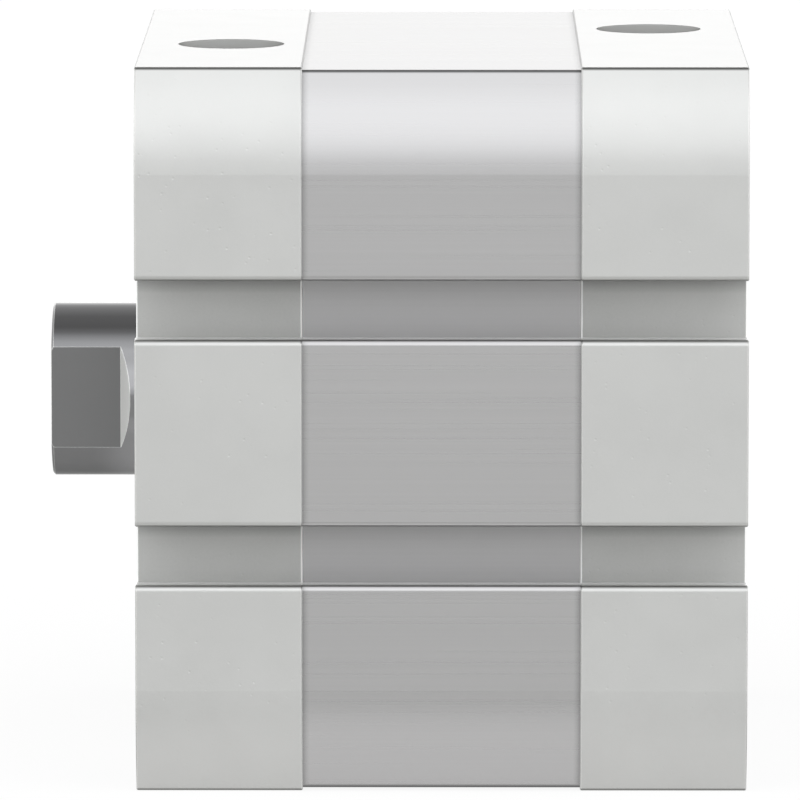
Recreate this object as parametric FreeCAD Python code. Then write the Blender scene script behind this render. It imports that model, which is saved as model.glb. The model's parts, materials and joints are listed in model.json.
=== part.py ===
import FreeCAD, Part
import math
import os

# A compact double-acting air cylinder with a square section and a short stroke.
# Millimetres. The rod axis is X, the rod points to -X and the air ports face +Z.
# The origin is on the rod axis, in the plane of the front cap's mounting face.
# The rod is drawn fully in, as the part stands at rest.

# Housing
bore = 50.0
stroke = 10.0
body_wall = 7.75            # from the bore to the flat of each outer face
cap_length = 15.0
barrel_inset = 0.25         # barrel skin below the skin of the caps
side_round = 20.0           # radius that rolls a side face over to the top and bottom
side_round_height = 9.45    # height of that rounded band
edge_round = 0.5            # edge between the rounded band and the top or bottom
cap_bevel = 0.1             # bevel round both ends of a cap

# Sensor slots, two in each side face
slot_offset = 11.1          # slot centre from the rod axis
slot_opening = 5.3
slot_inner_width = 7.0
slot_lip = 2.3              # thickness of the lips that hold a sensor
slot_depth = 6.0
slot_edge_round = 0.5

# Air ports, pipe thread at its major diameter
port_diameter = 9.728
port_depth = 9.0
port_setback = 8.2          # port axis from the nearer end face
front_port_offset = -7.0    # port axis from the rod axis, across the top
rear_port_offset = 8.9
port_drill_diameter = 5.0   # plain drilling below the thread
passage_diameter = 3.5      # from that drilling to the bore
passage_sump = 0.3          # drilling below the passage

# Hollow corner screws, threaded inside and out
screw_edge_distance = 9.5   # screw axis from the outer faces
screw_thread = 8.0          # inside thread for mounting
screw_shank = 11.0
screw_head_flats = 13.0
screw_head_height = 6.0
screw_head_crown = 12.4     # flat of the head inside its chamfer
screw_crown_angle = 30.0
screw_thread_lead = 0.3     # countersink of the inside thread
screw_head_sink = 0.2       # head below the mounting face
screw_grip = 7.0            # shank length in the barrel
screw_head_clearance = 0.3
shank_clearance = 0.05

# Joint between cap and barrel
register_length = 2.4       # rim of the cap that centres it in the bore
register_wall = 3.0
register_clearance = 0.05
seal_groove_width = 1.6
seal_groove_depth = 1.5
bore_lead = 0.4             # chamfer at both ends of the bore
ring_clearance = 0.03       # round seal in its groove

# Piston rod
rod_diameter = 16.0
rod_reach = 8.5             # rod end from the mounting face
rod_bevel = 0.2
rod_thread = 10.0
rod_thread_depth = 16.0
rod_thread_lead = 0.5
drill_tip_angle = 118.0
rod_flats = 13.0            # across the two spanner flats
rod_flat_length = 6.4
rod_flat_runout = 0.9       # axial length of the slope at the end of a flat

# Rod guide and rod seals in the front cap
rod_running_clearance = 0.03
lip_clearance = 0.05
press_clearance = 0.02
bush_wall = 2.0
bush_setback = 0.4          # bush end below the inner face of the cap
rod_seal_height = 4.0       # radial height of wiper and seal
rod_seal_width = 2.7
wiper_width = 2.4
wiper_sink = 0.3            # wiper below the mounting face
seal_gap = 0.1              # between wiper, seal and web
web_thickness = 0.8         # cap metal between rod seal and bush
web_clearance = 0.4

# Cushion rings in the inner faces of both caps
cushion_wall = 2.5          # cap metal between bush and cushion groove
cushion_width = 4.0
cushion_groove_depth = 1.5
cushion_stand = 0.5         # cushion ring proud of the cap
cushion_bevel = 0.3
end_gap = 0.1               # piston to cushion ring at each end of the stroke

# Piston, two halves clamped on the end of the rod
rim_gap = 0.3               # piston rim to cap register at each end of the stroke
rim_clearance = 0.5         # piston rim to bore
rim_land = 0.7
flange_thickness = 0.9
flange_drop = 0.7           # end flange below the rim, room for the seal lip
piston_seal_width = 2.2
piston_seal_height = 4.0
guide_width = 2.0
guide_height = 2.8
hub_clearance = 1.5         # piston hub to cap register
magnet_width = 4.0
magnet_height = 6.0
magnet_wall = 1.0           # piston metal between magnet and seal groove
slip_clearance = 0.05       # rings in their grooves
spigot_diameter = 10.0
spigot_ring_diameter = 1.2
spigot_stop = 0.4           # spigot end short of the screw head, so that the halves are clamped
piston_screw_thread = 6.0
piston_screw_length = 12.0
piston_screw_head = 14.0
piston_screw_head_height = 3.0
piston_screw_socket = 4.0   # across the flats of the hexagon socket
piston_screw_socket_depth = 1.8
piston_screw_sink = 0.4

# Shape of a lip seal, as shares of its width and height
lip_fork = 0.4              # bottom of the fork
lip_thickness = 0.27
lip_relief = 0.1            # back of the seal below its running lip

overrun = 1.0               # cutting tools past the faces that they cut
tolerance = 1e-4

# Sizes that follow from the ones above
rim_width = 2 * (flange_thickness + piston_seal_width + rim_land) + guide_width
barrel_length = rim_width + stroke + 2 * (register_length + rim_gap)
hub_length = barrel_length - stroke - 2 * (cushion_stand + end_gap)
front_joint = cap_length
rear_joint = front_joint + barrel_length
body_length = rear_joint + cap_length
body_half = bore / 2 + body_wall
screw_offset = body_half - screw_edge_distance
piston_mid = rear_joint - register_length - rim_gap - rim_width / 2
piston_front = piston_mid - hub_length / 2
piston_rear = piston_mid + hub_length / 2
bore_radius = bore / 2
rod_radius = rod_diameter / 2
rod_end = -rod_reach
register_inner = bore_radius - register_wall
seal_seat = bore_radius - seal_groove_depth
bush_radius = rod_radius + rod_running_clearance + bush_wall
rod_seal_seat = rod_radius + rod_seal_height
wiper_rear = wiper_sink + wiper_width
rod_seal_front = wiper_rear + seal_gap
rod_seal_rear = rod_seal_front + rod_seal_width
web_front = rod_seal_rear + seal_gap
web_rear = web_front + web_thickness
cushion_inner = bush_radius + cushion_wall
cushion_outer = cushion_inner + cushion_width
passage_radius = (cushion_outer + register_inner) / 2
piston_seal_seat = bore_radius - piston_seal_height
guide_seat = bore_radius - guide_height
seal_start = guide_width / 2 + rim_land
seal_end = seal_start + piston_seal_width
magnet_outer = piston_seal_seat - magnet_wall
magnet_inner = magnet_outer - magnet_height
spigot_radius = spigot_diameter / 2
spigot_seat = spigot_radius + press_clearance
spigot_ring_groove = spigot_ring_diameter + 2 * ring_clearance
piston_screw_seat = piston_rear - piston_screw_sink - piston_screw_head_height
spigot_end = piston_screw_seat - spigot_stop

x_axis = FreeCAD.Vector(1, 0, 0)
z_axis = FreeCAD.Vector(0, 0, 1)
centre = FreeCAD.Vector(0, 0, 0)
screw_places = [(y * screw_offset, z * screw_offset) for y in (-1, 1) for z in (-1, 1)]


def at(x, y, z):
    return FreeCAD.Vector(x, y, z)


def filled(points):
    return Part.Face(Part.makePolygon(points + points[:1]))


def turned(profile):
    # A solid of revolution about the rod axis, from (x, radius) points.
    return filled([at(x, 0, radius) for x, radius in profile]).revolve(centre, x_axis, 360)


def ring(start, end, inner, outer):
    return turned([(start, inner), (end, inner), (end, outer), (start, outer)])


def disc(start, end, radius, y=0.0, z=0.0):
    return Part.makeCylinder(radius, end - start, at(start, y, z), x_axis)


def hexagon(start, end, flats, y=0.0, z=0.0):
    # A hexagonal bar with two of its flats upright.
    corner_radius = flats / 2 / math.cos(math.radians(30))
    angles = [math.radians(60 * step + 30) for step in range(6)]
    points = [at(start, y + corner_radius * math.cos(a), z + corner_radius * math.sin(a)) for a in angles]
    return filled(points).extrude(at(end - start, 0, 0))


def round_seal(x, radius, diameter):
    return Part.makeTorus(radius, diameter / 2, at(x, 0, 0), x_axis)


def drill_tip(radius):
    return radius / math.tan(math.radians(drill_tip_angle / 2))


def to_rear(shape):
    # The same piece at the other end of the body.
    return shape.mirror(at(body_length / 2, 0, 0), x_axis)


def round_sweep(inset):
    # Angle through which the rounded band of a side face turns before it meets the top.
    return math.asin((side_round_height - inset) / (side_round - inset))


def top_half_width(inset):
    return body_half - inset - (side_round - inset) * (1 - math.cos(round_sweep(inset)))


def body_section(start, inset):
    half = body_half - inset
    flat = body_half - side_round_height
    radius = side_round - inset
    half_top = top_half_width(inset)
    bend_y = half - radius * (1 - math.cos(round_sweep(inset) / 2))
    bend_z = flat + radius * math.sin(round_sweep(inset) / 2)
    upper = Part.Arc(at(start, half_top, half), at(start, bend_y, bend_z), at(start, half, flat))
    lower = Part.Arc(at(start, half, -flat), at(start, bend_y, -bend_z), at(start, half_top, -half))
    one_side = [
        Part.makeLine(at(start, -half_top, half), at(start, half_top, half)),
        upper.toShape(),
        Part.makeLine(at(start, half, flat), at(start, half, -flat)),
        lower.toShape(),
    ]
    other_side = [edge.rotated(centre, x_axis, 180) for edge in one_side]
    return Part.Face(Part.Wire(one_side + other_side))


def slot_tool(start, end):
    # T-shaped slot in the +Y side face, level with the rod axis, alike in caps and barrel.
    mouth = body_half + overrun
    lip = body_half - slot_lip
    floor = body_half - slot_depth
    open_half = slot_opening / 2
    inner_half = slot_inner_width / 2
    upper = [(mouth, open_half), (lip, open_half), (lip, inner_half), (floor, inner_half)]
    lower = [(y, -z) for y, z in reversed(upper)]
    outline = [at(start - overrun, y, z) for y, z in upper + lower]
    return filled(outline).extrude(at(end - start + 2 * overrun, 0, 0))


def long_edges(shape, places):
    # The edges along the rod axis that run through the given (y, z) places.
    found = []
    for edge in shape.Edges:
        for y, z in places:
            if all(math.hypot(v.Y - y, v.Z - z) < tolerance for v in edge.Vertexes):
                found.append(edge)
    return found


def end_edges(shape, x):
    return [edge for edge in shape.Edges if all(abs(v.X - x) < tolerance for v in edge.Vertexes)]


def profile_block(start, end, inset):
    # A length of the body's outer section, with its slots and rounded edges.
    block = body_section(start, inset).extrude(at(end - start, 0, 0))
    half = body_half - inset
    half_top = top_half_width(inset)
    slot = slot_tool(start, end)
    slots = []
    lip_places = []
    corner_places = []
    for side in (-1, 1):
        for level in (-1, 1):
            raised = slot.translated(at(0, 0, level * slot_offset))
            slots.append(raised.rotated(centre, x_axis, 90 - side * 90))
            corner_places.append((side * half_top, level * half))
            for edge in (-1, 1):
                lip_places.append((side * half, level * slot_offset + edge * slot_opening / 2))
    block = block.cut(slots)
    block = block.makeFillet(edge_round, long_edges(block, corner_places))
    return block.makeFillet(slot_edge_round, long_edges(block, lip_places))


def barrel():
    block = profile_block(front_joint, rear_joint, barrel_inset)
    lead = bore_radius + bore_lead
    bore_tool = turned([
        (front_joint, 0),
        (front_joint, lead),
        (front_joint + bore_lead, bore_radius),
        (rear_joint - bore_lead, bore_radius),
        (rear_joint, lead),
        (rear_joint, 0),
    ])
    hole_radius = screw_shank / 2 + shank_clearance
    holes = [disc(front_joint, rear_joint, hole_radius, y, z) for y, z in screw_places]
    return block.cut([bore_tool] + holes)


def cap_register():
    # Rim that centres the cap in the bore, with the groove for the round seal behind its lip.
    end = front_joint + register_length
    groove_end = front_joint + seal_groove_width
    outer = bore_radius - register_clearance
    return turned([
        (front_joint, register_inner),
        (end, register_inner),
        (end, outer),
        (groove_end, outer),
        (groove_end, seal_seat),
        (front_joint, seal_seat),
    ])


def screw_seats():
    head_radius = screw_head_flats / 2 / math.cos(math.radians(30)) + screw_head_clearance
    shank_radius = screw_shank / 2 + shank_clearance
    seats = []
    for y, z in screw_places:
        seats.append(disc(-overrun, screw_head_sink + screw_head_height, head_radius, y, z))
        seats.append(disc(0, front_joint + overrun, shank_radius, y, z))
    return seats


def air_way(offset):
    # Threaded port in the top, a drilling below it and a passage from there to the bore.
    level = math.sqrt(passage_radius ** 2 - offset ** 2)
    thread_end = at(port_setback, offset, body_half - port_depth)
    drill_end = at(port_setback, offset, level - passage_diameter / 2 - passage_sump)
    drill_length = thread_end.z - drill_end.z + overrun
    return [
        Part.makeCylinder(port_diameter / 2, port_depth + overrun, thread_end, z_axis),
        Part.makeCylinder(port_drill_diameter / 2, drill_length, drill_end, z_axis),
        disc(port_setback, front_joint + overrun, passage_diameter / 2, offset, level),
    ]


def cap(port_offset):
    # A cap as it stands at the front, without the way for the rod.
    block = profile_block(0, cap_length, 0)
    block = block.makeChamfer(cap_bevel, end_edges(block, 0) + end_edges(block, cap_length))
    groove = ring(front_joint - cushion_groove_depth, front_joint + overrun, cushion_inner, cushion_outer)
    return block.fuse(cap_register()).cut([groove] + screw_seats() + air_way(port_offset))


def front_cap():
    bush_seat = bush_radius + press_clearance
    web_radius = rod_radius + web_clearance
    rod_way = turned([
        (-overrun, 0),
        (-overrun, rod_seal_seat),
        (web_front, rod_seal_seat),
        (web_front, web_radius),
        (web_rear, web_radius),
        (web_rear, bush_seat),
        (front_joint + overrun, bush_seat),
        (front_joint + overrun, 0),
    ])
    return cap(front_port_offset).cut(rod_way)


def rear_cap():
    return to_rear(cap(rear_port_offset))


def cap_screws():
    # The four hollow screws of the front cap, as one group.
    head_end = screw_head_sink + screw_head_height
    shank_end = front_joint + screw_grip
    crown_base = screw_head_crown / 2 + screw_head_height / math.tan(math.radians(screw_crown_angle))
    screws = []
    for y, z in screw_places:
        face = at(screw_head_sink, y, z)
        crown = Part.makeCone(screw_head_crown / 2, crown_base, screw_head_height, face, x_axis)
        head = hexagon(screw_head_sink, head_end, screw_head_flats, y, z).common(crown)
        shank = disc(head_end, shank_end, screw_shank / 2, y, z)
        thread = disc(0, shank_end + overrun, screw_thread / 2, y, z)
        mouth = screw_thread / 2 + screw_thread_lead
        lead = Part.makeCone(mouth, screw_thread / 2, screw_thread_lead, face, x_axis)
        screws.append(head.fuse(shank).cut([thread, lead]))
    return Part.makeCompound(screws)


def barrel_seal():
    diameter = seal_groove_depth - 2 * ring_clearance
    return round_seal(front_joint + seal_groove_width / 2, bore_radius - seal_groove_depth / 2, diameter)


def rod_bush():
    inner = rod_radius + rod_running_clearance
    return ring(web_rear, front_joint - bush_setback, inner, bush_radius)


def lip_seal(heel, mouth, seat_radius, lip_radius):
    # A ring forked towards its mouth, seated on one side and with a running lip on the other.
    width = mouth - heel
    height = lip_radius - seat_radius
    relief = lip_radius - lip_relief * height
    return turned([
        (heel, seat_radius),
        (mouth, seat_radius),
        (mouth, seat_radius + lip_thickness * height),
        (heel + lip_fork * width, seat_radius + height / 2),
        (mouth, lip_radius - lip_thickness * height),
        (mouth, lip_radius),
        (mouth - lip_fork * width, lip_radius),
        (heel + lip_fork * width / 2, relief),
        (heel, relief),
    ])


def rod_seal():
    seat = rod_seal_seat - press_clearance
    return lip_seal(rod_seal_front, rod_seal_rear, seat, rod_radius + lip_clearance)


def rod_wiper():
    seat = rod_seal_seat - press_clearance
    return lip_seal(wiper_rear, wiper_sink, seat, rod_radius + lip_clearance)


def cushion_ring():
    bottom = front_joint - cushion_groove_depth
    top = front_joint + cushion_stand
    inner = cushion_inner + slip_clearance
    outer = cushion_outer - slip_clearance
    return turned([
        (bottom, inner),
        (top - cushion_bevel, inner),
        (top, inner + cushion_bevel),
        (top, outer - cushion_bevel),
        (top - cushion_bevel, outer),
        (bottom, outer),
    ])


def piston_rod():
    rod = turned([
        (rod_end, 0),
        (rod_end, rod_radius - rod_bevel),
        (rod_end + rod_bevel, rod_radius),
        (piston_front, rod_radius),
        (piston_front, spigot_radius),
        (spigot_end, spigot_radius),
        (spigot_end, 0),
    ])
    thread_radius = rod_thread / 2
    thread_end = rod_end + rod_thread_depth
    front_hole = turned([
        (rod_end, 0),
        (rod_end, thread_radius + rod_thread_lead),
        (rod_end + rod_thread_lead, thread_radius),
        (thread_end, thread_radius),
        (thread_end + drill_tip(thread_radius), 0),
    ])
    tapped_radius = piston_screw_thread / 2 + press_clearance
    tapped_end = piston_screw_seat - piston_screw_length - spigot_stop
    rear_hole = turned([
        (spigot_end, 0),
        (spigot_end, tapped_radius),
        (tapped_end, tapped_radius),
        (tapped_end - drill_tip(tapped_radius), 0),
    ])
    flat_end = rod_end + rod_flat_length
    reach = rod_radius + overrun
    flat_outline = [
        at(rod_end - overrun, rod_flats / 2, -reach),
        at(flat_end, rod_flats / 2, -reach),
        at(flat_end + rod_flat_runout, rod_radius, -reach),
        at(flat_end + rod_flat_runout, reach, -reach),
        at(rod_end - overrun, reach, -reach),
    ]
    flat = filled(flat_outline).extrude(at(0, 0, 2 * reach))
    return rod.cut([front_hole, rear_hole, flat, flat.rotated(centre, x_axis, 180)])


def piston_half(direction):
    # One half of the piston: direction -1 is towards the rod end.
    rim = bore_radius - rim_clearance
    flange = rim - flange_drop
    hub = register_inner - hub_clearance
    profile = [
        (0, guide_seat),
        (guide_width / 2, guide_seat),
        (guide_width / 2, rim),
        (seal_start, rim),
        (seal_start, piston_seal_seat),
        (seal_end, piston_seal_seat),
        (seal_end, flange),
        (rim_width / 2, flange),
        (rim_width / 2, hub),
        (hub_length / 2, hub),
        (hub_length / 2, spigot_seat),
        (0, spigot_seat),
        (0, magnet_inner),
        (magnet_width / 2, magnet_inner),
        (magnet_width / 2, magnet_outer),
        (0, magnet_outer),
    ]
    return turned([(piston_mid + direction * depth, radius) for depth, radius in profile])


def piston_front_half():
    groove_outer = spigot_radius + spigot_ring_groove
    return piston_half(-1).cut(disc(piston_mid - spigot_ring_groove, piston_mid, groove_outer))


def piston_rear_half():
    head_radius = piston_screw_head / 2 + slip_clearance
    return piston_half(1).cut(disc(piston_screw_seat, piston_rear + overrun, head_radius))


def spigot_ring():
    groove_middle = spigot_ring_groove / 2
    return round_seal(piston_mid - groove_middle, spigot_radius + groove_middle, spigot_ring_diameter)


def piston_seal(direction):
    heel = piston_mid + direction * (seal_start + slip_clearance)
    mouth = piston_mid + direction * (seal_end - slip_clearance)
    return lip_seal(heel, mouth, piston_seal_seat + slip_clearance, bore_radius - lip_clearance)


def guide_ring():
    half = guide_width / 2 - slip_clearance
    return ring(piston_mid - half, piston_mid + half, guide_seat + slip_clearance, bore_radius - lip_clearance)


def magnet_ring():
    half = magnet_width / 2 - slip_clearance
    return ring(piston_mid - half, piston_mid + half, magnet_inner + slip_clearance, magnet_outer - slip_clearance)


def piston_screw():
    head_end = piston_screw_seat + piston_screw_head_height
    head = disc(piston_screw_seat, head_end, piston_screw_head / 2)
    shank = disc(piston_screw_seat - piston_screw_length, piston_screw_seat, piston_screw_thread / 2)
    socket = hexagon(head_end - piston_screw_socket_depth, head_end + overrun, piston_screw_socket)
    return head.fuse(shank).cut(socket)


nodes = {
    "barrel": barrel(),
    "front_cap": front_cap(),
    "rear_cap": rear_cap(),
    "front_cap_screws": cap_screws(),
    "rear_cap_screws": to_rear(cap_screws()),
    "front_barrel_seal": barrel_seal(),
    "rear_barrel_seal": to_rear(barrel_seal()),
    "rod_bush": rod_bush(),
    "rod_seal": rod_seal(),
    "rod_wiper": rod_wiper(),
    "front_cushion_ring": cushion_ring(),
    "rear_cushion_ring": to_rear(cushion_ring()),
    "piston_rod": piston_rod(),
    "piston_front_half": piston_front_half(),
    "piston_rear_half": piston_rear_half(),
    "piston_front_seal": piston_seal(-1),
    "piston_rear_seal": piston_seal(1),
    "piston_guide_ring": guide_ring(),
    "magnet_ring": magnet_ring(),
    "piston_screw": piston_screw(),
    "rod_spigot_seal": spigot_ring(),
}

os.makedirs("parts", exist_ok=True)
for name, shape in nodes.items():
    shape.exportStep("parts/" + name + ".step")
    print(name, len(shape.Solids), "solids", round(shape.Volume, 1), "mm3", "valid" if shape.isValid() else "broken")
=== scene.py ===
import bpy
import bmesh
import json
import math
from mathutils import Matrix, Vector


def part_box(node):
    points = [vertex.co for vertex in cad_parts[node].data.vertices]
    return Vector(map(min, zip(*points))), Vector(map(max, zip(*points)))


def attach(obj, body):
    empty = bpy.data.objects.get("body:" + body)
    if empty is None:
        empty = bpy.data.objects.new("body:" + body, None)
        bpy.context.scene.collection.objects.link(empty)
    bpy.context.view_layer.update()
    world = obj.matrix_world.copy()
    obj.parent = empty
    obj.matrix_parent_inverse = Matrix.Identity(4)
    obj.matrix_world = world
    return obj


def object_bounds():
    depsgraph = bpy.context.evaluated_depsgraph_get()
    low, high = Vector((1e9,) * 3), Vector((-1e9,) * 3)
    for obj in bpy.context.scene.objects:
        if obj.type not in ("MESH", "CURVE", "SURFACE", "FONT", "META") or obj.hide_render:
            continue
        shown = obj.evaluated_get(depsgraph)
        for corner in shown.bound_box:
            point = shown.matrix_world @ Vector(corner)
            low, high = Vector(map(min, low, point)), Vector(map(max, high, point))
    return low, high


mm = 0.001
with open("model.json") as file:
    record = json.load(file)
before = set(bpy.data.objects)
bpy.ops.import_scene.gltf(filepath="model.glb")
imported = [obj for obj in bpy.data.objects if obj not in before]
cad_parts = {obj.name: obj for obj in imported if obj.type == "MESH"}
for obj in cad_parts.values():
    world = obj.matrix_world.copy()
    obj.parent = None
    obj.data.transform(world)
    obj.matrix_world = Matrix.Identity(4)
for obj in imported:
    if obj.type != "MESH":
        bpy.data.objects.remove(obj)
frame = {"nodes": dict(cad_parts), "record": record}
cadLow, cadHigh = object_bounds()
bodyLow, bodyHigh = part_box("front_cap")[0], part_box("rear_cap")[1]
bodyCentre = (bodyLow + bodyHigh) / 2
barrelLow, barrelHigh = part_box("barrel")
mounts = {mount["name"]: mount for mount in frame["record"]["mounts"]}

noiseSpan = (0.3, 0.7)    # nearly all values of a noise pattern lie between these
bumpUnit = 0.1 * mm       # height that a bump of strength 1 stands for
colourA, colourB, colourOut = 6, 7, 2    # a Mix node's colour sockets: others share their names


def hexColour(code):
    values = [int(code[i:i + 2], 16) / 255 for i in (1, 3, 5)]
    linear = [v / 12.92 if v <= 0.04045 else ((v + 0.055) / 1.055) ** 2.4 for v in values]
    return (*linear, 1.0)


def addNode(tree, kind, inputs, **settings):
    # kind: a node's type, without the words that all of them start with
    # inputs: name or number of a socket -> a value, or the output socket that is joined to it
    node = tree.nodes.new("ShaderNode" + kind)
    for name, value in settings.items():
        setattr(node, name, value)
    for name, value in inputs.items():
        if isinstance(value, bpy.types.NodeSocket):
            tree.links.new(value, node.inputs[name])
        else:
            node.inputs[name].default_value = value
    return node


def setRamp(node, stops):
    # stops: (place, linear colour) in rising order
    ramp = node.color_ramp
    while len(ramp.elements) < len(stops):
        ramp.elements.new(1.0)
    for element, (place, colour) in zip(ramp.elements, stops):
        element.position = place
        element.color = colour
    return node.outputs["Color"]


def newFinish(name):
    material = bpy.data.materials.new(name)
    material.use_nodes = True
    material.node_tree.nodes.clear()
    return material, material.node_tree


def perMm(size):
    # texture scale at which one cell of a pattern is this many millimetres wide
    return 1 / (size * mm)


def toneFrom(tree, pattern, s, span=noiseSpan):
    # colour that goes from the deep tone to the light one with a pattern
    ramp = addNode(tree, "ValToRGB", {"Fac": pattern})
    tones = (hexColour(s[tone]) for tone in ("colourDeep", "colour"))
    return setRamp(ramp, list(zip(span, tones)))


def reliefFrom(tree, pattern, s):
    # roughness and bumped normal that follow a pattern
    start, end = noiseSpan
    low, high = s["roughness"]
    rough = addNode(tree, "MapRange", {"Value": pattern, "From Min": start, "From Max": end,
                                       "To Min": low, "To Max": high})
    bump = addNode(tree, "Bump", {"Height": pattern, "Strength": s["bump"], "Distance": bumpUnit})
    return rough.outputs["Result"], bump.outputs["Normal"]


# Camera, fitted to the edges of the caps and the slots in the photograph
cameraSet = {
    "lens": 436.3,                        # mm
    "sensor": 36.0,                       # mm
    "distance": 900.7 * mm,               # from the middle of the body
    "elevation": 7.16,                    # degrees above the horizon
    "aim": (-3.86 * mm, 0, -1.07 * mm),   # from the middle of the body
    "clip": (0.05, 20.0),                 # metres, nearest and furthest that it sees
}


def addCamera(s):
    tilt = math.radians(s["elevation"])
    eye = bodyCentre + s["distance"] * Vector((0, -math.cos(tilt), math.sin(tilt)))
    data = bpy.data.cameras.new("photoCamera")
    data.lens = s["lens"]
    data.sensor_width = s["sensor"]
    data.clip_start, data.clip_end = s["clip"]
    camera = bpy.data.objects.new("photoCamera", data)
    camera.location = eye
    camera.rotation_mode = "QUATERNION"
    camera.rotation_quaternion = (bodyCentre + Vector(s["aim"]) - eye).to_track_quat("-Z", "Y")
    bpy.context.scene.collection.objects.link(camera)
    bpy.context.scene.camera = camera


addCamera(cameraSet)
print("camera set")

# Studio: a white surround, brighter above the front and low along the back, dim overhead
studio = {
    # elevation in degrees and the level of light there
    "front": [(-90, 1.0), (-2, 1.0), (4, 1.35), (10, 1.75), (30, 1.85), (45, 1.5), (60, 1.55), (72, 1.2),
              (80, 0.85), (88, 0.5), (90, 0.4)],
    "back": [(-90, 1.0), (0, 2.0), (12, 1.9), (24, 1.1), (36, 0.75), (48, 0.55), (60, 0.38), (85, 0.3),
             (90, 0.4)],
    "frontTint": (0.985, 0.997, 1.012),   # a little cool
    "backTint": (1, 1, 1),
    "turnover": 0.15,                     # how softly front goes over into back
}


def lightRing(tree, sky, stops, tint):
    ramp = addNode(tree, "ValToRGB", {"Fac": sky})
    return setRamp(ramp, [((angle + 90) / 180, (*[level * part for part in tint], 1))
                          for angle, level in stops])


def addStudio(s):
    world = bpy.data.worlds.new("studio")
    world.use_nodes = True
    tree = world.node_tree
    tree.nodes.clear()
    way = addNode(tree, "TexCoord", {}).outputs["Generated"]
    parts = addNode(tree, "SeparateXYZ", {"Vector": way})
    climb = addNode(tree, "Math", {0: parts.outputs["Z"]}, operation="ARCSINE")
    sky = addNode(tree, "MapRange", {"Value": climb.outputs[0], "From Min": -math.pi / 2,
                                     "From Max": math.pi / 2}).outputs["Result"]
    behind = addNode(tree, "MapRange", {"Value": parts.outputs["Y"], "From Min": -s["turnover"],
                                        "From Max": s["turnover"]}, interpolation_type="SMOOTHSTEP")
    front = lightRing(tree, sky, s["front"], s["frontTint"])
    back = lightRing(tree, sky, s["back"], s["backTint"])
    light = addNode(tree, "Mix", {"Factor": behind.outputs["Result"], colourA: front, colourB: back},
                    data_type="RGBA")
    shine = addNode(tree, "Background", {"Color": light.outputs[colourOut], "Strength": 1.0})
    addNode(tree, "OutputWorld", {"Surface": shine.outputs[0]})
    bpy.context.scene.world = world
    bpy.context.scene.view_settings.view_transform = "Standard"


addStudio(studio)
print("studio lit")

# Floor: matt and pale, to the camera nearly white with a trace of shadow, while the metal mirrors its
# shade, painted greyer away from the body and whiter close to it
floorSet = {
    "colour": "#FAFAF9",
    "farPaintedShade": "#D4D4D2",            # painted shade on the floor away from the body, for all but the camera
    "fadeEnds": (0, 6 * mm),           # from the caps' end faces, where the one goes over into the other
    "fadeSides": (6 * mm, 30 * mm),    # and from the side faces
    "reach": 1.5,                      # metres from the middle of the body
    "shadowShare": 0.12,               # of the floor's own shading that the camera sees on the white
    "mirrorShadow": (0.3, 0.85),       # and that the metal mirrors, close to the body and further out: closer in it mirrors more plain white, a painted pool of light
}


def mattFloor(s):
    material, tree = newFinish("mattWhiteFloor")
    place = addNode(tree, "TexCoord", {}).outputs["Object"]
    spot = addNode(tree, "SeparateXYZ", {"Vector": place})
    fades = []
    for k, (start, end) in enumerate((s["fadeEnds"], s["fadeSides"])):
        half = bodyHigh[k] - bodyCentre[k]
        off = addNode(tree, "Math", {0: spot.outputs[k], 1: bodyCentre[k]}, operation="SUBTRACT")
        off = addNode(tree, "Math", {0: off.outputs[0]}, operation="ABSOLUTE")
        fade = addNode(tree, "MapRange", {"Value": off.outputs[0], "From Min": half + start,
                                          "From Max": half + end}, interpolation_type="SMOOTHSTEP")
        fades.append(fade.outputs["Result"])
    fade = addNode(tree, "Math", {0: fades[0], 1: fades[1]}, operation="MAXIMUM").outputs[0]

    path = addNode(tree, "LightPath", {}).outputs
    # painted shade: the floor greyer away from the body, for all rays but the camera's
    unseen = addNode(tree, "Math", {0: 1.0, 1: path["Is Camera Ray"]}, operation="SUBTRACT")
    greyed = addNode(tree, "Math", {0: fade, 1: unseen.outputs[0]}, operation="MULTIPLY")
    colour = addNode(tree, "Mix", {"Factor": greyed.outputs[0], colourA: hexColour(s["colour"]),
                                   colourB: hexColour(s["farPaintedShade"])}, data_type="RGBA")
    matt = addNode(tree, "BsdfDiffuse", {"Color": colour.outputs[colourOut]})
    white = addNode(tree, "Emission", {"Color": (1, 1, 1, 1), "Strength": 1.0})

    # share of plain white that the camera and the metal see instead of the floor's own shading
    seen = addNode(tree, "Math", {0: path["Is Camera Ray"], 1: 1 - s["shadowShare"]},
                   operation="MULTIPLY")
    # close to the body the metal mirrors more plain white: a painted pool of light
    close, further = (1 - share for share in s["mirrorShadow"])
    lit = addNode(tree, "MapRange", {"Value": fade, "To Min": close, "To Max": further})
    bounced = addNode(tree, "Math", {0: path["Is Glossy Ray"], 1: path["Is Transmission Ray"]},
                      operation="MAXIMUM")
    bounced = addNode(tree, "Math", {0: bounced.outputs[0], 1: lit.outputs["Result"]},
                      operation="MULTIPLY")
    share = addNode(tree, "Math", {0: seen.outputs[0], 1: bounced.outputs[0]}, operation="MAXIMUM")
    both = addNode(tree, "MixShader", {0: share.outputs[0], 1: matt.outputs[0], 2: white.outputs[0]})
    addNode(tree, "OutputMaterial", {"Surface": both.outputs[0]})
    return material


def addFloor(s):
    left, right = bodyCentre.x - s["reach"], bodyCentre.x + s["reach"]
    ahead, back = bodyCentre.y - s["reach"], bodyCentre.y + s["reach"]
    corners = ((left, ahead), (right, ahead), (right, back), (left, back))
    mesh = bpy.data.meshes.new("floor")
    mesh.from_pydata([(x, y, cadLow.z) for x, y in corners], [], [(0, 1, 2, 3)])
    mesh.materials.append(mattFloor(s))
    floor = bpy.data.objects.new("floor", mesh)
    bpy.context.scene.collection.objects.link(floor)


addFloor(floorSet)
print("floor laid")

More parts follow.
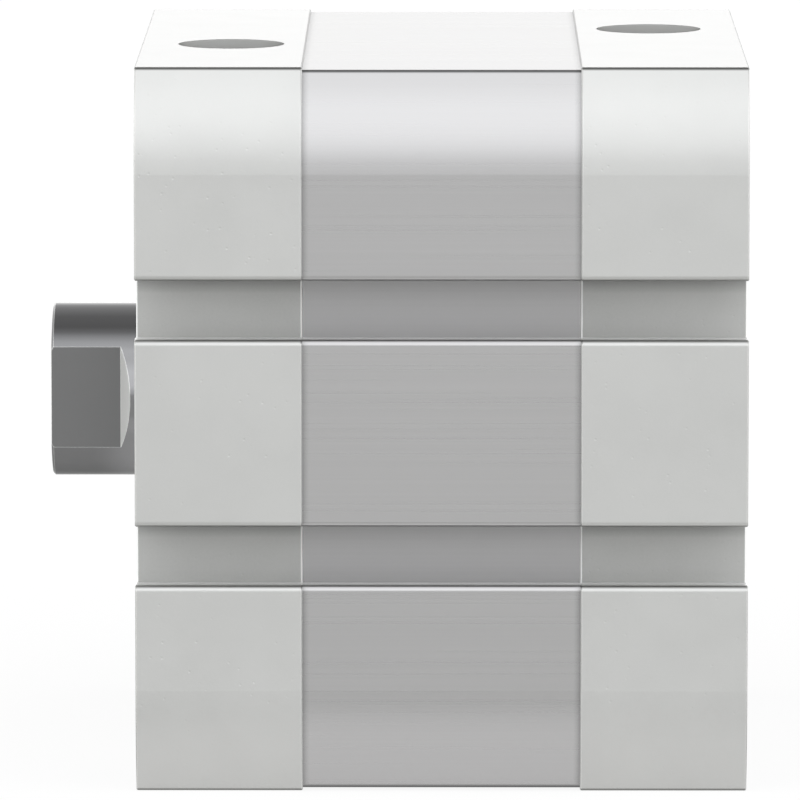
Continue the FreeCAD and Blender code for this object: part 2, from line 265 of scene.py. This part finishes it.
# Where the sensor slots are in caps and barrel
slotSet = {
    "skin": (0.4 * mm, 1.2 * mm),   # below the side faces, the slots' walls fade in here
    "floor": 6.2 * mm,              # no deeper than this
    "height": 16.0 * mm,            # from the rod's axis, the slots lie within it
    "centre": 11.1 * mm,            # height of a slot's middle above and below the rod's axis
    "square": 0.5,                  # sideways part of a back wall's normal, at least
    "bevelLean": 0.7,               # lengthwise part of a bevel's normal
    "bevelSpan": 0.15,              # and how far it may differ
    "level": 0.9,                   # upright part of a lip face's normal, at least
}


def slotMasks(tree, s=slotSet):
    # back walls of the slots, the bevels at their ends and the upper faces of their lower lips
    coords = addNode(tree, "TexCoord", {})
    place = addNode(tree, "SeparateXYZ", {"Vector": coords.outputs["Object"]}).outputs
    facing = addNode(tree, "SeparateXYZ", {"Vector": coords.outputs["Normal"]}).outputs
    aside, height, square, leaning = [addNode(tree, "Math", {0: part}, operation="ABSOLUTE").outputs[0]
                                      for part in (place["Y"], place["Z"], facing["Y"], facing["X"])]
    shallow, deep = (cadHigh.y - depth for depth in s["skin"])
    within = addNode(tree, "MapRange", {"Value": aside, "From Min": shallow, "From Max": deep})
    within = within.outputs["Result"]
    outside = addNode(tree, "Math", {0: aside, 1: cadHigh.y - s["floor"]}, operation="GREATER_THAN")
    between = addNode(tree, "Math", {0: height, 1: s["height"]}, operation="LESS_THAN")
    for part in (outside, between):
        within = addNode(tree, "Math", {0: within, 1: part.outputs[0]}, operation="MULTIPLY").outputs[0]
    found = {
        "wall": addNode(tree, "Math", {0: square, 1: s["square"]}, operation="GREATER_THAN"),
        "bevel": addNode(tree, "Math", {0: leaning, 1: s["bevelLean"], 2: s["bevelSpan"]},
                         operation="COMPARE"),
        "lip": addNode(tree, "Math", {0: facing["Z"], 1: s["level"]}, operation="GREATER_THAN"),
    }
    return {name: addNode(tree, "Math", {0: within, 1: part.outputs[0]}, operation="MULTIPLY").outputs[0]
            for name, part in found.items()}


# Long edges of caps and barrel, between the side faces and the top or bottom
longEdgeSet = {
    "start": (0.48, 0.62),    # upright part of the normal, where the side face turns into the edge
    "end": (0.985, 0.93),     # and where the edge turns into the top or bottom
}


def longEdgeMask(tree, mouthShare, s=longEdgeSet):
    # mouthShare: how much of it the rounded mouths of the slots get
    coords = addNode(tree, "TexCoord", {})
    upright, height = [addNode(tree, "SeparateXYZ", {"Vector": coords.outputs[part]}).outputs["Z"]
                       for part in ("Normal", "Object")]
    upright, height = [addNode(tree, "Math", {0: part}, operation="ABSOLUTE").outputs[0]
                       for part in (upright, height)]
    mask = addNode(tree, "Math", {0: height, 1: slotSet["height"]}, operation="GREATER_THAN").outputs[0]
    mask = addNode(tree, "Math", {0: mask, 1: mouthShare}, operation="MAXIMUM").outputs[0]
    for low, high in (s["start"], s["end"]):
        fade = addNode(tree, "MapRange", {"Value": upright, "From Min": low, "From Max": high})
        mask = addNode(tree, "Math", {0: mask, 1: fade.outputs["Result"]}, operation="MULTIPLY").outputs[0]
    return mask


# Edges in general, found where a rounded copy of the normal leaves the true one
edgeSet = {
    "samples": 8,
    "start": 0.999,    # cosine between the two where an edge begins
    "full": 0.93,      # and where it is full
}


def edgeMask(tree, width, s=edgeSet):
    facing = addNode(tree, "NewGeometry", {}).outputs["Normal"]
    rounded = addNode(tree, "Bevel", {"Radius": width}, samples=s["samples"]).outputs["Normal"]
    alike = addNode(tree, "VectorMath", {0: facing, 1: rounded}, operation="DOT_PRODUCT")
    mask = addNode(tree, "MapRange", {"Value": alike.outputs["Value"], "From Min": s["start"],
                                      "From Max": s["full"]})
    return mask.outputs["Result"], rounded


def anodisedSurface(tree, s, masks, colour, rough, normal, tones, highlightShare):
    # tones: of the outside and of the slots' back walls, with painted shade and light among them; the last:
    # share of a pale painted highlight, which isn't metal
    outside, inSlot = tones
    # painted shade on the long edges, then the painted shade or light of the slots' back walls
    longEdge = longEdgeMask(tree, s["mouthShare"])
    colour = addNode(tree, "Mix", {"Factor": longEdge, colourA: colour,
                                   colourB: hexColour(s["longEdgePaintedShade"])}, data_type="RGBA")
    tone = addNode(tree, "MapRange", {"Value": masks["wall"], "To Min": outside, "To Max": inSlot})
    colour = addNode(tree, "VectorMath", {0: colour.outputs[colourOut], "Scale": tone.outputs["Result"]},
                     operation="SCALE")
    colour = addNode(tree, "Mix", {"Factor": highlightShare, colourA: colour.outputs[0],
                                   colourB: hexColour(s["paintedHighlightColour"])}, data_type="RGBA")
    metallic = addNode(tree, "Math", {0: 1.0, 1: highlightShare}, operation="SUBTRACT")
    for mask, level in ((masks["wall"], s["slotRoughness"]), (longEdge, s["longEdgeRoughness"])):
        rough = addNode(tree, "MapRange", {"Value": mask, "To Min": rough, "To Max": level})
        rough = rough.outputs["Result"]
    oxide = addNode(tree, "MapRange", {"Value": longEdge, "To Min": s["oxide"], "To Max": 0.0})
    # the clear oxide dimmed by the same painted shade outside the slots
    oxide = addNode(tree, "Math", {0: oxide.outputs["Result"], 1: outside}, operation="MULTIPLY")
    graze = addNode(tree, "MapRange", {"Value": masks["lip"], "To Min": s["grazeTint"], "To Max": 1.0})
    metal = addNode(tree, "BsdfPrincipled", {"Base Color": colour.outputs[colourOut],
                                             "Metallic": metallic.outputs[0],
                                             "Roughness": rough,
                                             "Normal": normal,
                                             "Specular Tint": graze.outputs["Result"],
                                             "Coat Weight": oxide.outputs[0],
                                             "Coat Roughness": s["oxideRoughness"]})
    addNode(tree, "OutputMaterial", {"Surface": metal.outputs["BSDF"]})


# Anodised aluminium, cast and blasted: a matt satin with a very fine grain, edges painted brighter as a
# painted highlight
capFinish = {
    "colour": "#C5C5C3",
    "colourDeep": "#C1C1BF",
    "grain": 0.25,            # mm, blasting grit is finer, drawn coarse enough to show
    "grainDetail": 3.0,
    "grainShare": 0.7,        # of the grain in the tone, beside the clouds
    "cloud": 6.0,             # mm, faint unevenness of the anodising
    "cloudDetail": 2.0,
    "toneSpan": (0.55, 1.0),  # of grain and clouds together
    "roughness": (0.42, 0.48),
    "bump": 0.02,
    "pitSpacing": 1.05,       # mm between single pits of the casting
    "pitSize": 0.16,          # mm across half of one
    "pitDepth": 0.012 * mm,
    # painted highlight on the edges
    "edgeColour": "#E4E4E2",
    "edgeWidth": 0.12 * mm,
    "topEdgePaintedShade": "#8A8A88",   # edges of the top face, painted dark as a painted shade
    "topEdgeClimb": (0.25, 0.45),  # upright part of their rounded normal
    "longEdgePaintedShade": "#8A8A88",  # long edges, smooth and painted dark as a painted shade
    "longEdgeRoughness": 0.28,
    "mouthShare": 0.5,        # less so the mouths of the slots
    "grazeTint": 0.6,         # share of the mirror left where it is seen nearly edge on
    "oxide": 0.57,            # clear oxide layer
    "oxideRoughness": 0.15,
    "slotTone": 1.0,          # back walls of the slots, against the outside: as light, but more matt
    "slotRoughness": 0.7,
    "slotPaintedShade": 0.72,        # share of that tone under the upper lip, a painted shade
    "slotPaintedShadeSpan": (0.9 * mm, 2.0 * mm),  # above the slot's middle
    "paintedHighlightColour": "#F4F4F2",  # pale painted highlight, not metal, on the slots' end bevels, rims and lower lips
    "highlightRim": 0.2 * mm,     # width of the rim beside the barrel
    "highlightOnLip": 0.45,
}


def blastedAluminium(s):
    material, tree = newFinish("anodisedAluminiumBlasted")
    place = addNode(tree, "TexCoord", {}).outputs["Object"]
    spot = addNode(tree, "SeparateXYZ", {"Vector": place}).outputs
    grain, cloud = [addNode(tree, "TexNoise", {"Vector": place, "Scale": perMm(s[name]),
                                               "Detail": s[name + "Detail"]}).outputs["Fac"]
                    for name in ("grain", "cloud")]
    mixed = addNode(tree, "Math", {0: grain, 1: s["grainShare"], 2: cloud}, operation="MULTIPLY_ADD")
    colour = toneFrom(tree, mixed.outputs[0], s, s["toneSpan"])
    rough, normal = reliefFrom(tree, grain, s)
    pits = addNode(tree, "TexVoronoi", {"Vector": place, "Scale": perMm(s["pitSpacing"])})
    pits = addNode(tree, "MapRange", {"Value": pits.outputs["Distance"],
                                      "From Max": s["pitSize"] / s["pitSpacing"]},
                   interpolation_type="SMOOTHSTEP")
    normal = addNode(tree, "Bump", {"Height": pits.outputs["Result"], "Strength": 1.0,
                                    "Distance": s["pitDepth"], "Normal": normal}).outputs["Normal"]

    # edges: a painted highlight, but painted shade round the top face
    paintedEdges, rounded = edgeMask(tree, s["edgeWidth"])
    climb = addNode(tree, "SeparateXYZ", {"Vector": rounded}).outputs["Z"]
    low, high = s["topEdgeClimb"]
    atTop = addNode(tree, "MapRange", {"Value": climb, "From Min": low, "From Max": high})
    edge = addNode(tree, "Mix", {"Factor": atTop.outputs["Result"], colourA: hexColour(s["edgeColour"]),
                                 colourB: hexColour(s["topEdgePaintedShade"])}, data_type="RGBA")
    colour = addNode(tree, "Mix", {"Factor": paintedEdges, colourA: colour, colourB: edge.outputs[colourOut]},
                     data_type="RGBA").outputs[colourOut]

    # slots: a pale painted highlight on the lower lips, the end bevels and a rim beside the barrel
    masks = slotMasks(tree)
    barrelMiddle, barrelHalf = (barrelLow.x + barrelHigh.x) / 2, (barrelHigh.x - barrelLow.x) / 2
    beside = addNode(tree, "Math", {0: spot["X"], 1: barrelMiddle}, operation="SUBTRACT")
    beside = addNode(tree, "Math", {0: beside.outputs[0]}, operation="ABSOLUTE")
    rim = addNode(tree, "Math", {0: beside.outputs[0], 1: barrelHalf + s["highlightRim"]},
                  operation="LESS_THAN")
    rim = addNode(tree, "Math", {0: rim.outputs[0], 1: masks["wall"]}, operation="MULTIPLY").outputs[0]
    highlightShare = addNode(tree, "Math", {0: masks["lip"], 1: s["highlightOnLip"]}, operation="MULTIPLY").outputs[0]
    for part in (masks["bevel"], rim):
        highlightShare = addNode(tree, "Math", {0: highlightShare, 1: part}, operation="MAXIMUM").outputs[0]

    # and painted shade under the upper lip
    side = addNode(tree, "Math", {0: spot["Z"]}, operation="SIGN").outputs[0]
    above = addNode(tree, "Math", {0: side, 1: -slotSet["centre"], 2: spot["Z"]},
                    operation="MULTIPLY_ADD").outputs[0]
    foot, top = s["slotPaintedShadeSpan"]
    paintedShade = addNode(tree, "MapRange", {"Value": above, "From Min": foot, "From Max": top,
                                       "To Min": s["slotTone"],
                                       "To Max": s["slotTone"] * s["slotPaintedShade"]})
    anodisedSurface(tree, s, masks, colour, rough, normal, (1.0, paintedShade.outputs["Result"]), highlightShare)
    return material


# Anodised aluminium, extruded: duller than the caps, with faint die lines along its length
barrelFinish = {
    "colour": "#B7B6B6",
    "colourDeep": "#B5B4B4",
    "lineWidth": 0.18,        # mm across a die line, drawn coarse enough to show
    "lineLength": 120.0,      # mm along it, more than the barrel has
    "lineDetail": 4.0,
    "roughness": (0.27, 0.3),
    "bump": 0.005,
    "longEdgePaintedShade": "#8A8A8A",  # long edges, smooth and painted dark as a painted shade
    "longEdgeRoughness": 0.28,
    "mouthShare": 0.0,        # but not the mouths of the slots
    "grazeTint": 0.65,        # share of the mirror left where it is seen nearly edge on
    "oxide": 0.27,            # clear oxide layer
    "oxideRoughness": 0.15,
    "stepShadeReach": 0.65 * mm,   # painted shade in the corner beside each cap
    "stepSamples": 8,
    "stepShadeDepth": 2.8,         # how strong
    "stepShadeLeast": 0.66,        # least share of the colour left there
    "slotTone": 1.03,         # back walls of the slots, against the outside: painted lighter, a painted light
    "slotRoughness": 0.62,
    "paintedHighlightColour": "#F2F2F0",  # pale painted highlight, not metal, on the slots' lower lips
    "highlightOnLip": 0.5,
}


def extrudedAluminium(s):
    material, tree = newFinish("anodisedAluminiumExtruded")
    place = addNode(tree, "TexCoord", {}).outputs["Object"]
    across, along = perMm(s["lineWidth"]), perMm(s["lineLength"])
    drawn = addNode(tree, "Mapping", {"Vector": place, "Scale": (along, across, across)})
    line = addNode(tree, "TexNoise", {"Vector": drawn.outputs[0], "Scale": 1.0,
                                      "Detail": s["lineDetail"]}).outputs["Fac"]
    colour = toneFrom(tree, line, s)
    rough, normal = reliefFrom(tree, line, s)
    # painted shade: the colour darkened where the surface is hemmed in, beside each cap
    clear = addNode(tree, "AmbientOcclusion", {"Distance": s["stepShadeReach"]}, samples=s["stepSamples"])
    paintedShade = addNode(tree, "Math", {0: clear.outputs["AO"], 1: s["stepShadeDepth"]}, operation="POWER")
    paintedShade = addNode(tree, "Math", {0: paintedShade.outputs[0], 1: s["stepShadeLeast"]}, operation="MAXIMUM")
    masks = slotMasks(tree)
    highlightShare = addNode(tree, "Math", {0: masks["lip"], 1: s["highlightOnLip"]}, operation="MULTIPLY").outputs[0]
    anodisedSurface(tree, s, masks, colour, rough, normal, (paintedShade.outputs[0], s["slotTone"]), highlightShare)
    return material


# Stainless steel, ground and polished: a dark mirror with fine rings, spanner flats milled grey
rodFinish = {
    "colour": "#8D8D8E",
    "roughness": 0.07,
    "ringWidth": 0.12,        # mm between grinding rings, drawn coarse enough to show
    "ringLength": 4.0,        # mm over which a ring changes
    "ringDetail": 3.0,
    "ringRoughness": 0.06,    # what the rings add
    "bump": 0.01,
    "grazeTint": 0.6,         # share of the mirror left where it is seen nearly edge on
    "flatColour": "#7A7A7A",
    "flatRoughness": 0.36,
    "flatEnd": 6.41 * mm,     # of the flats, from the rod's end
    "flatFacing": 0.95,       # sideways part of a flat's normal, at least
    "slopeColour": "#E2E2E0",  # fresh cut where the mill ran out
    "slopeRoughness": 0.7,
    "slopeEnd": 7.5 * mm,
    "slopeLean": -0.85,       # lengthwise part of its normal
    "slopeSpan": 0.05,        # and how far it may differ
    # painted highlight on the edges of the flats and slopes
    "edgeColour": "#F0F0EE",
    "edgeWidth": 0.1 * mm,
}


def polishedSteel(s):
    material, tree = newFinish("stainlessSteelPolished")
    coords = addNode(tree, "TexCoord", {})
    facing = addNode(tree, "SeparateXYZ", {"Vector": coords.outputs["Normal"]}).outputs
    place = addNode(tree, "SeparateXYZ", {"Vector": coords.outputs["Object"]}).outputs
    aside = addNode(tree, "Math", {0: facing["Y"]}, operation="ABSOLUTE")
    square = addNode(tree, "Math", {0: aside.outputs[0], 1: s["flatFacing"]}, operation="GREATER_THAN")
    leaning = addNode(tree, "Math", {0: facing["X"], 1: s["slopeLean"], 2: s["slopeSpan"]},
                      operation="COMPARE")
    onFlat, onSlope = [
        addNode(tree, "Math", {0: place["X"], 1: cadLow.x + s[end]}, operation="LESS_THAN").outputs[0]
        for end in ("flatEnd", "slopeEnd")]
    onFlat = addNode(tree, "Math", {0: square.outputs[0], 1: onFlat}, operation="MULTIPLY").outputs[0]
    onSlope = addNode(tree, "Math", {0: leaning.outputs[0], 1: onSlope}, operation="MULTIPLY").outputs[0]

    # colour and roughness of the round part, then of the flats, the slopes and the edges, painted bright as
    # a painted highlight
    colour, rough = hexColour(s["colour"]), s["roughness"]
    for mask, name in ((onFlat, "flat"), (onSlope, "slope"), (edgeMask(tree, s["edgeWidth"])[0], "edge")):
        colour = addNode(tree, "Mix", {"Factor": mask, colourA: colour,
                                       colourB: hexColour(s[name + "Colour"])}, data_type="RGBA")
        colour = colour.outputs[colourOut]
    for mask, name in ((onFlat, "flat"), (onSlope, "slope")):
        rough = addNode(tree, "MapRange", {"Value": mask, "To Min": rough, "To Max": s[name + "Roughness"]})
        rough = rough.outputs["Result"]

    across, along = perMm(s["ringWidth"]), perMm(s["ringLength"])
    rings = addNode(tree, "Mapping", {"Vector": coords.outputs["Object"], "Scale": (across, along, along)})
    ground = addNode(tree, "TexNoise", {"Vector": rings.outputs[0], "Scale": 1.0,
                                        "Detail": s["ringDetail"]}).outputs["Fac"]
    spread = addNode(tree, "Math", {0: ground, 1: s["ringRoughness"], 2: rough}, operation="MULTIPLY_ADD")
    bump = addNode(tree, "Bump", {"Height": ground, "Strength": s["bump"], "Distance": bumpUnit})
    metal = addNode(tree, "BsdfPrincipled", {"Base Color": colour, "Metallic": 1.0,
                                             "Roughness": spread.outputs[0],
                                             "Normal": bump.outputs["Normal"],
                                             "Specular Tint": (*[s["grazeTint"]] * 3, 1)})
    addNode(tree, "OutputMaterial", {"Surface": metal.outputs["BSDF"]})
    return material


# Turned metal: faint rings round the rod's axis. feed: mm between the marks of the tool
turnedDetail = 2.0
turnedFinishes = {
    # pale and bright from the lathe
    "aluminiumTurned": {"colour": "#D2D2D0", "colourDeep": "#BEBEBC", "feed": 0.2,
                        "roughness": (0.26, 0.36), "bump": 0.04},
    # bright and slightly blue
    "steelZincPlated": {"colour": "#C9CBCC", "colourDeep": "#B4B7BA", "feed": 0.3,
                        "roughness": (0.28, 0.4), "bump": 0.04},
    # bare steel, darker and smooth from the tap
    "steelThreadCut": {"colour": "#B4B5B7", "colourDeep": "#9C9DA0", "feed": 0.15,
                       "roughness": (0.24, 0.34), "bump": 0.04},
    # bare aluminium, smooth from the tap
    "aluminiumThreadCut": {"colour": "#C4C4C3", "colourDeep": "#B0B0AF", "feed": 0.15,
                           "roughness": (0.24, 0.34), "bump": 0.04},
}


def turnedMetal(name, s):
    material, tree = newFinish(name)
    place = addNode(tree, "TexCoord", {}).outputs["Object"]
    parts = addNode(tree, "SeparateXYZ", {"Vector": place}).outputs
    flat = addNode(tree, "CombineXYZ", {"Y": parts["Y"], "Z": parts["Z"]})
    radius = addNode(tree, "VectorMath", {0: flat.outputs[0]}, operation="LENGTH")
    course = addNode(tree, "CombineXYZ", {"X": parts["X"], "Y": radius.outputs["Value"]})
    mark = addNode(tree, "TexNoise", {"Vector": course.outputs[0], "Scale": perMm(s["feed"]),
                                      "Detail": turnedDetail}).outputs["Fac"]
    rough, normal = reliefFrom(tree, mark, s)
    metal = addNode(tree, "BsdfPrincipled", {"Base Color": toneFrom(tree, mark, s), "Metallic": 1.0,
                                             "Roughness": rough, "Normal": normal})
    addNode(tree, "OutputMaterial", {"Surface": metal.outputs["BSDF"]})
    return material


# Moulded and pressed materials: a fine even grain, in mm and drawn coarse enough to show
mouldedDetail = 4.0
mouldedFinishes = {
    # black with a soft sheen
    "nitrileRubberMoulded": {"colour": "#232323", "colourDeep": "#1A1A1A", "grain": 0.3,
                             "roughness": (0.42, 0.55), "metallic": 0.0, "ior": 1.52, "bump": 0.05},
    # blue-black and smoother
    "polyurethaneMoulded": {"colour": "#2B3136", "colourDeep": "#22272B", "grain": 0.4,
                            "roughness": (0.3, 0.42), "metallic": 0.0, "ior": 1.5, "bump": 0.04},
    # amber, slightly waxy
    "polyurethaneCushion": {"colour": "#C9A86B", "colourDeep": "#B8965A", "grain": 0.5,
                            "roughness": (0.35, 0.48), "metallic": 0.0, "ior": 1.5, "bump": 0.04},
    # dull gold, specked dark by its open pores
    "bronzeSintered": {"colour": "#B8936A", "colourDeep": "#7E5F3F", "grain": 0.15,
                       "roughness": (0.34, 0.55), "metallic": 1.0, "ior": 1.5, "bump": 0.12},
    # creamy white and waxy
    "acetalMoulded": {"colour": "#E6E3D9", "colourDeep": "#DAD6CA", "grain": 0.4,
                      "roughness": (0.32, 0.44), "metallic": 0.0, "ior": 1.48, "bump": 0.03},
    # dark grey and matt, like slate
    "ferriteBonded": {"colour": "#45464A", "colourDeep": "#36373A", "grain": 0.2,
                      "roughness": (0.5, 0.65), "metallic": 0.0, "ior": 1.6, "bump": 0.06},
}


def mouldedMaterial(name, s):
    material, tree = newFinish(name)
    place = addNode(tree, "TexCoord", {}).outputs["Object"]
    grain = addNode(tree, "TexNoise", {"Vector": place, "Scale": perMm(s["grain"]),
                                       "Detail": mouldedDetail}).outputs["Fac"]
    rough, normal = reliefFrom(tree, grain, s)
    body = addNode(tree, "BsdfPrincipled", {"Base Color": toneFrom(tree, grain, s),
                                            "Metallic": s["metallic"], "IOR": s["ior"],
                                            "Roughness": rough, "Normal": normal})
    addNode(tree, "OutputMaterial", {"Surface": body.outputs["BSDF"]})
    return material


finishes = {"blasted": blastedAluminium(capFinish), "extruded": extrudedAluminium(barrelFinish),
            "polished": polishedSteel(rodFinish)}
for name, settings in turnedFinishes.items():
    finishes[name] = turnedMetal(name, settings)
for name, settings in mouldedFinishes.items():
    finishes[name] = mouldedMaterial(name, settings)

finishedNodes = {
    "blasted": ("front_cap", "rear_cap"),
    "extruded": ("barrel",),
    "polished": ("piston_rod",),
    "steelZincPlated": ("front_cap_screws", "rear_cap_screws", "piston_screw"),
    "aluminiumTurned": ("piston_front_half", "piston_rear_half"),
    "nitrileRubberMoulded": ("front_barrel_seal", "rear_barrel_seal", "rod_spigot_seal"),
    "polyurethaneMoulded": ("rod_seal", "rod_wiper", "piston_front_seal", "piston_rear_seal"),
    "polyurethaneCushion": ("front_cushion_ring", "rear_cushion_ring"),
    "bronzeSintered": ("rod_bush",),
    "acetalMoulded": ("piston_guide_ring",),
    "ferriteBonded": ("magnet_ring",),
}
for finish, names in finishedNodes.items():
    for name in names:
        frame["nodes"][name].material_slots[0].material = finishes[finish]
print("finishes set on", sum(map(len, finishedNodes.values())), "of", len(frame["nodes"]), "nodes")

# Threads: ridges wound down the walls of the holes, which the solids have at the threads' full diameter
threadForm = {
    "stepsPerTurn": 40,
    "footSink": 0.02 * mm,    # a ridge's foot in the wall
    "footShare": 0.46,        # half a ridge at its foot, in pitches
    "crestShare": 0.07,       # and at its crest
    "runOut": 0.7,            # turns over which a ridge fades at both ends
    "leastShare": 0.03,       # of its full size at its very ends
}
portThread = {"pitch": 0.907 * mm, "height": 0.581 * mm, "start": 1.1 * mm, "end": 8.4 * mm}
screwThread = {"pitch": 1.25 * mm, "height": 0.677 * mm, "start": 0.5 * mm, "end": 21.6 * mm}
rodThread = {"pitch": 1.5 * mm, "height": 0.812 * mm, "start": 0.5 * mm, "end": 15.2 * mm}


def windRidge(mesh, form, s, mouth, inward, wallRadius):
    side = inward.orthogonal().normalized()
    other = inward.cross(side)
    steps = int((s["end"] - s["start"]) / s["pitch"] * form["stepsPerTurn"])
    fade = form["runOut"] * form["stepsPerTurn"]
    foot = wallRadius + form["footSink"]
    rows = []
    for step in range(steps + 1):
        share = max(form["leastShare"], min(1.0, step / fade, (steps - step) / fade))
        turn = 2 * math.pi * step / form["stepsPerTurn"]
        out = side * math.cos(turn) + other * math.sin(turn)
        middle = mouth + inward * (s["start"] + s["pitch"] * step / form["stepsPerTurn"])
        crest = wallRadius - s["height"] * share
        profile = [(-form["footShare"] * share, foot), (-form["crestShare"] * share, crest),
                   (form["crestShare"] * share, crest), (form["footShare"] * share, foot)]
        rows.append([mesh.verts.new(middle + inward * s["pitch"] * along + out * radius)
                     for along, radius in profile])
    for before, after in zip(rows, rows[1:]):
        for k in range(len(before)):
            beyond = (k + 1) % len(before)
            face = mesh.faces.new((before[k], before[beyond], after[beyond], after[k]))
            face.smooth = True
        for start, end in zip(before, after):
            mesh.edges.get((start, end)).smooth = False
    mesh.faces.new(rows[0][::-1])
    mesh.faces.new(rows[-1])


def addThread(name, holes, s, wallRadius, finish, body):
    mesh = bmesh.new()
    for mouth, inward in holes:
        windRidge(mesh, threadForm, s, mouth, inward, wallRadius)
    bmesh.ops.recalc_face_normals(mesh, faces=mesh.faces)
    data = bpy.data.meshes.new(name)
    mesh.to_mesh(data)
    mesh.free()
    data.materials.append(finishes[finish])
    thread = bpy.data.objects.new(name, data)
    bpy.context.scene.collection.objects.link(thread)
    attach(thread, body)


for name in ("front_port", "rear_port"):
    place = Vector(mounts[name]["pos_m"])
    mouth = Vector((place.x, place.y, cadHigh.z))
    addThread(name + "_thread", [(mouth, Vector((0, 0, -1)))], portThread,
              mounts[name]["dims"]["r_mm"] * mm, "aluminiumThreadCut", "cylinder_body")
for name in ("front", "rear"):
    pattern = mounts[name + "_screw_pattern"]
    half = pattern["dims"]["spacing_x_mm"] / 2 * mm
    middle, inward = Vector(pattern["pos_m"]), -Vector(pattern["axis"])
    holes = [(middle + Vector((0, y * half, z * half)), inward) for y in (-1, 1) for z in (-1, 1)]
    addThread(name + "_screw_threads", holes, screwThread, pattern["dims"]["hole_r_mm"] * mm,
              "steelZincPlated", "cylinder_body")
rodEnd = Vector((cadLow.x, 0, 0))
addThread("rod_end_thread", [(rodEnd, Vector((1, 0, 0)))], rodThread,
          mounts["rod_thread"]["dims"]["r_mm"] * mm, "steelThreadCut", "piston_and_rod")
print("threads wound")
